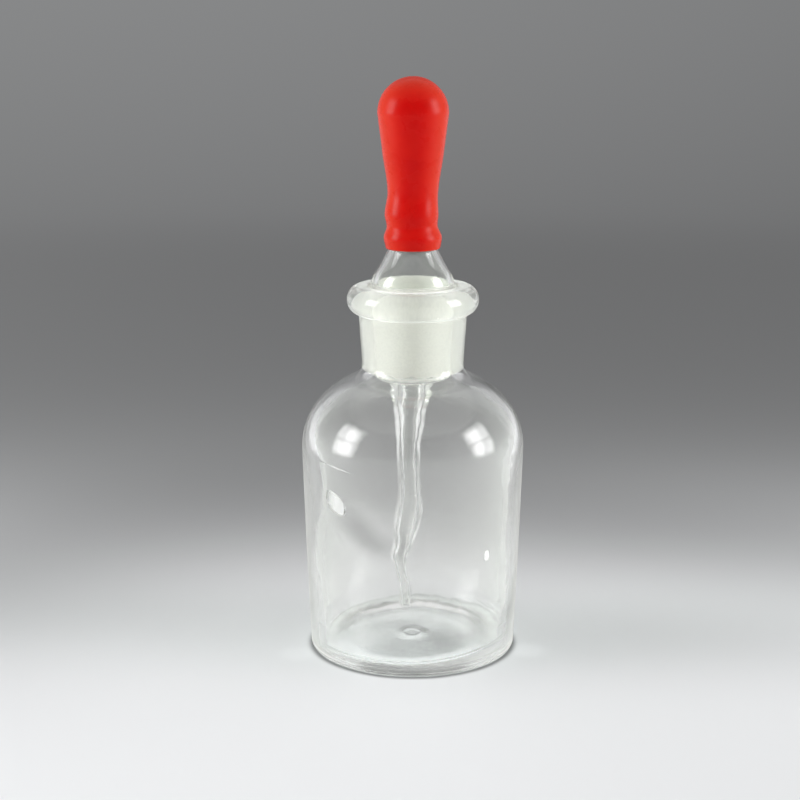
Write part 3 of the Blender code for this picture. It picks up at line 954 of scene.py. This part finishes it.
# grey of the sweep at a point, with light and shade painted in. lit = 1 / (1 + (depth / litDepth)^litPower) is a
# painted pool of light from dark to white, the dark rises to upper up the wall, and each painted shadow takes off
# strength * exp(-(u / width)^2 - (v / depth)^2) each painted spot of light adds strength * exp(-(distance /
# size)^4), and the foot has a painted shadow line round it outside the view the floor is white and the wall a
# middle grey
def stageTone(x, y, z):
    s = stageShape
    ahead = y + cameraPlace["distance"]
    depth = np.maximum(y - s["litStart"], 0)
    lit = 1 / (1 + (depth / s["litDepth"]) ** s["litPower"])
    dark = s["dark"] + (s["upper"] - s["dark"]) * easeStep(depth, *s["upperRise"])
    tone = dark * (1 - lit) + s["white"] * lit
    slope = np.clip(x / np.maximum(ahead, 0.2), -0.3, 0.3)
    tone = tone * (1 - (s["lean"][0] + s["lean"][1] * lit) * slope)
    for strength, across, along, width, reach, turn in s["shadows"]:
        u = (x - across) * math.cos(turn) + (y - along) * math.sin(turn)
        v = (y - along) * math.cos(turn) - (x - across) * math.sin(turn)
        tone = tone * (1 - strength * np.exp(-(u / width) ** 2 - (v / reach) ** 2))
    for strength, across, along, size in s["paintedLightSpots"]:
        tone = tone * (1 + strength * np.exp(-(((x - across) ** 2 + (y - along) ** 2) / size ** 2) ** 2))
    strength, radius, width = s["paintedFootShadow"]
    tone = np.minimum(tone, 1) * (1 - strength * np.exp(-((np.hypot(x, y) - radius) / width) ** 2))
    outside = easeStep(np.degrees(np.arctan2(np.abs(x), ahead)), *s["sideTurn"])
    beside = s["sideFloor"] + (s["sideWall"] - s["sideFloor"]) * easeStep(z, 0.0, s["sideRise"])
    tone = tone + (beside - tone) * outside
    front = easeStep(np.degrees(np.arctan2(np.abs(x), y)), *s["cameraTurn"]) * easeStep(z, *s["cameraRise"])
    return tone + (s["cameraSide"] - tone) * front


# a flat floor that curves up into a round wall: rings of one outline turned round Z, closed at the centre
def makeStage():
    s = stageShape
    starts = [0] + [radius for radius, _ in s["rings"]]
    floor = [np.linspace(start, end, count + 1)[1:] for start, (end, count) in zip(starts, s["rings"])]
    rings = np.concatenate(floor)
    corner = (rings[-1], 0)
    wall = bendLine(corner, (s["wallRadius"], 0), (s["wallRadius"], s["wallHeight"]), s["wallRows"])
    line = joinLines(np.column_stack((rings, rings * 0)), wall)
    segments = s["segments"]
    angle = np.linspace(0, 2 * np.pi, segments, endpoint=False)
    grid = np.dstack((line[:, :1] * np.cos(angle), line[:, :1] * np.sin(angle),
                      np.repeat(line[:, 1:], segments, 1))).reshape(-1, 3)
    grid = np.vstack((grid, [[0, 0, 0]]))
    grid[:, 2] -= s["drop"] * (grid[:, 2] < 1 * mm)
    index = np.arange(len(line) * segments).reshape(len(line), segments)
    fan = np.column_stack((np.full(segments, len(grid) - 1), index[0], np.roll(index[0], -1)))
    mesh = bpy.data.meshes.new("paperSweep")
    mesh.from_pydata(grid.tolist(), [], gridFaces(index).tolist() + fan.tolist())
    mesh.shade_smooth()
    writeValue(mesh, "tone", stageTone(*grid.T))
    writeValue(mesh, "wall", easeStep(np.hypot(grid[:, 0], grid[:, 1]), s["floorEnd"], s["wallStart"]))
    mesh.materials.append(makePaper())
    placeObject("paperSweep", mesh)


# near the object the paper is lit and takes shadows. the wall glows at its own grey for what looks at it,
# and lets the air's light through to what is lit by it
def makePaper():
    material, tree, shader = newMaterial("palePaper")
    # the tone holds a painted pool of light, painted shadows, painted light spots and a painted shadow line round
    # the foot
    grey = addNode(tree, "ShaderNodeAttribute", attribute_name="tone").outputs["Fac"]
    wall = addNode(tree, "ShaderNodeAttribute", attribute_name="wall").outputs["Fac"]
    tone = addVector(tree, "SCALE", stageShape["tint"], grey)
    fillShader(tree, shader, {
        "Base Color": tone,
        "Roughness": stageShape["roughness"],
        "Specular IOR Level": stageShape["specular"],
    })
    path = tree.nodes.new("ShaderNodeLightPath")
    seen = addMath(tree, "MAXIMUM", path.outputs["Is Camera Ray"], path.outputs["Is Glossy Ray"])
    seen = addMath(tree, "MAXIMUM", seen, path.outputs["Is Transmission Ray"])
    glow = tree.nodes.new("ShaderNodeEmission")
    tree.links.new(tone, glow.inputs[0])
    clear = tree.nodes.new("ShaderNodeBsdfTransparent")
    looks = mixShaders(tree, seen, clear.outputs[0], glow.outputs[0])
    surface = mixShaders(tree, wall, shader.outputs[0], looks)
    tree.links.new(surface, tree.nodes["Material Output"].inputs["Surface"])
    return material


# each lamp's direction in degrees, its size in metres, and its radiance
lamps = {
    "leftGlow": {"azimuth": -112, "elevation": 8, "distance": 0.75, "width": 1.2, "height": 0.8, "radiance": 0.65},
    "rightGlow": {"azimuth": 112, "elevation": 8, "distance": 0.75, "width": 1.2, "height": 0.8, "radiance": 0.5},
    "leftCore": {"azimuth": -79, "elevation": 17, "distance": 0.8, "width": 0.4, "height": 0.62, "radiance": 9.0},
    "rightCore": {"azimuth": 79, "elevation": 17, "distance": 0.8, "width": 0.4, "height": 0.62, "radiance": 9.0},
}

roomLight = {
    "aim": 0.06,  # height that the lamps point at
    "fade": 0.16,  # u (1 - u) from which a bright lamp has its full level
    "bar": (0.01, 0.05),  # distance from its middle at which a bar begins to end, and has ended
    "behindBar": 0.5,
    "air": 0.6,
    "ceiling": 0.9,  # what glass and rubber mirror above the walls
}


# the bright lamps are windows, with a bar across and one up. their level is the product over both directions
# of u (1 - u) / 0.16, not above 1, and of a half on the bar
def makeWindow(data):
    data.use_nodes = True
    tree = data.node_tree
    place = splitVector(tree, tree.nodes.new("ShaderNodeNewGeometry").outputs["Parametric"])
    level = 1.0
    for i in (0, 1):
        fade = addMath(tree, "MULTIPLY", place[i], addMath(tree, "SUBTRACT", 1.0, place[i]))
        fade = addRange(tree, fade, 0.0, roomLight["fade"])
        middle = addMath(tree, "ABSOLUTE", addMath(tree, "SUBTRACT", place[i], 0.5))
        bar = addRange(tree, middle, *roomLight["bar"], roomLight["behindBar"], 1.0)
        level = addMath(tree, "MULTIPLY", addMath(tree, "MULTIPLY", fade, bar), level)
    tree.links.new(level, tree.nodes["Emission"].inputs["Strength"])


# on each side a broad dim softbox that only lights, and a small bright window that glass and rubber mirror
def makeLights():
    for name, lamp in lamps.items():
        azimuth, elevation = math.radians(lamp["azimuth"]), math.radians(lamp["elevation"])
        away = np.array((math.sin(azimuth) * math.cos(elevation), -math.cos(azimuth) * math.cos(elevation),
                         math.sin(elevation)))
        data = bpy.data.lights.new(name, "AREA")
        data.shape = "RECTANGLE"
        data.size = lamp["width"]
        data.size_y = lamp["height"]
        data.energy = lamp["radiance"] * math.pi * lamp["width"] * lamp["height"]
        box = placeObject(name, data)
        box.location = away * lamp["distance"] + (0, 0, roomLight["aim"])
        box.rotation_euler = (math.pi / 2 - elevation, 0, azimuth)
        box.visible_camera = False
        if name.endswith("Core"):
            makeWindow(data)
        else:
            box.visible_glossy = False
            box.visible_transmission = False


# plain white air, a little brighter for what mirrors it or looks through glass at it
def makeAir():
    world = bpy.data.worlds.new("studioAir")
    world.use_nodes = True
    tree = world.node_tree
    path = tree.nodes.new("ShaderNodeLightPath")
    seen = addMath(tree, "MAXIMUM", path.outputs["Is Glossy Ray"], path.outputs["Is Transmission Ray"])
    strength = addMath(tree, "MULTIPLY_ADD", seen, roomLight["ceiling"] - roomLight["air"], roomLight["air"])
    tree.nodes["Background"].inputs[0].default_value = (1, 1, 1, 1)
    tree.links.new(strength, tree.nodes["Background"].inputs[1])
    bpy.context.scene.world = world


def makeCamera():
    c = cameraPlace
    data = bpy.data.cameras.new("photoCamera")
    data.lens = c["lens"]
    data.sensor_width = 36
    data.clip_start = 0.01
    data.clip_end = 10
    camera = placeObject("photoCamera", data)
    camera.location = (c["sideways"], -c["distance"], c["height"])
    camera.rotation_euler = (math.radians(90 - c["pitch"]), 0, 0)
    bpy.context.scene.camera = camera


bottle = makeBottle()
bottle.data.materials.append(makeGlass("bottleGlass", glassFinish["bottle"], bottleShape["spots"]))
bottle.data.materials.append(makeGround("groundBore", groundFinish["bore"]))
bottle.data.materials.append(makeStippled("stippledBase", baseFinish))
useFinish(bottle, 1, onBore)
useFinish(bottle, 2, onStipple)
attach(bottle, "bottle")
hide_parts("bottle")
print("bottle made")

pipette = makePipette()
pipette.data.materials.append(makeGlass("pipetteGlass", glassFinish["pipette"]))
pipette.data.materials.append(makeGround("groundPlug", groundFinish["plug"]))
useFinish(pipette, 1, onPlug)
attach(pipette, "pipette")
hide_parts("pipette")
print("pipette made")

teat = makeTeat()
teat.data.materials.append(makeRubber("redRubber", rubberFinish))
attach(teat, "teat")
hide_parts("teat")
print("teat made")

makeStage()
makeLights()
makeAir()
makeCamera()

scene = bpy.context.scene
scene.view_settings.view_transform = "Standard"
scene.cycles.max_bounces = 32
scene.cycles.transmission_bounces = 32
scene.cycles.transparent_max_bounces = 32
print("stage, lamps and camera set")
